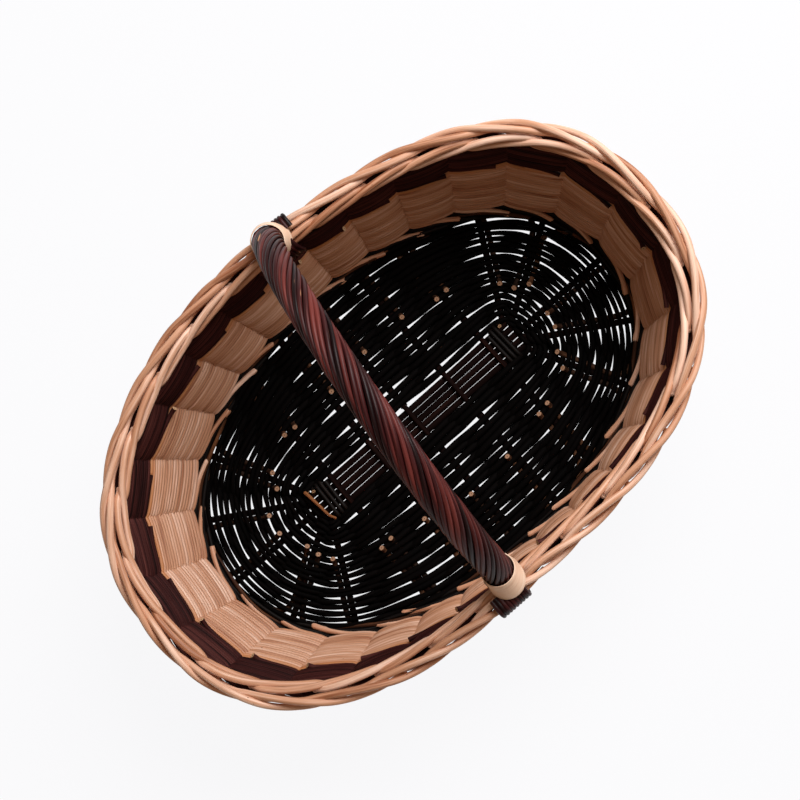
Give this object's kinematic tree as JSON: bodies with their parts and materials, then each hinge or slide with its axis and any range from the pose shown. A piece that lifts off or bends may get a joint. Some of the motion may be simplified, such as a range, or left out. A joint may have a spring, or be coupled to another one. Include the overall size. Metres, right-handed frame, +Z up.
{
  "type": "wicker log basket",
  "caption": "Oval willow log basket with a see-through woven base, two-tone woven sides, a turned-down rod border and a fixed roped cross handle with pale collars.",
  "frame": {"origin": "on the floor, under the middle of the oval", "axes": "+X along the long way of the oval, +Y across it, the way the handle spans, +Z up"},
  "size_m": [0.6022, 0.4182, 0.3511],
  "materials": {
    "buff_willow": "satin",
    "brown_willow": "satin",
    "wale_willow": "satin",
    "dark_willow": "satin",
    "red_willow": "satin",
    "pale_willow": "satin"
  },
  "bodies": {
    "root": {"side_stake_01": "buff_willow", "side_stake_02": "buff_willow", "side_stake_03": "buff_willow", "side_stake_04": "buff_willow", "side_stake_05": "buff_willow", "side_stake_06": "buff_willow", "side_stake_07": "buff_willow", "side_stake_08": "buff_willow", "side_stake_09": "buff_willow", "side_stake_10": "buff_willow", "side_stake_11": "buff_willow", "side_stake_12": "buff_willow", "side_stake_13": "buff_willow", "side_stake_14": "buff_willow", "side_stake_15": "buff_willow", "side_stake_16": "buff_willow", "side_stake_17": "buff_willow", "side_stake_18": "buff_willow", "side_stake_19": "buff_willow", "side_stake_20": "buff_willow", "side_stake_21": "buff_willow", "side_stake_22": "buff_willow", "side_stake_23": "buff_willow", "side_stake_24": "buff_willow", "side_stake_25": "buff_willow", "side_stake_26": "buff_willow", "side_stake_27": "buff_willow", "side_stake_28": "buff_willow", "buff_siding": "buff_willow", "brown_band": "brown_willow", "upsett_wale": "wale_willow", "base_cross_stick_01": "dark_willow", "base_cross_stick_02": "dark_willow", "base_cross_stick_03": "dark_willow", "base_cross_stick_04": "dark_willow", "base_cross_stick_05": "dark_willow", "base_long_stick_01": "dark_willow", "base_long_stick_02": "dark_willow", "base_long_stick_03": "dark_willow", "base_long_stick_04": "dark_willow", "base_long_stick_05": "dark_willow", "base_weaver_a": "dark_willow", "base_weaver_b": "dark_willow", "base_binding_left": "dark_willow", "base_binding_right": "dark_willow", "handle_bow": "dark_willow", "handle_roping_01": "red_willow", "handle_roping_02": "red_willow", "handle_roping_03": "red_willow", "handle_roping_04": "red_willow", "handle_tail_back": "red_willow", "handle_tail_front": "red_willow", "handle_collar_back": "pale_willow", "handle_collar_front": "pale_willow"}
  },
  "joints": []
}
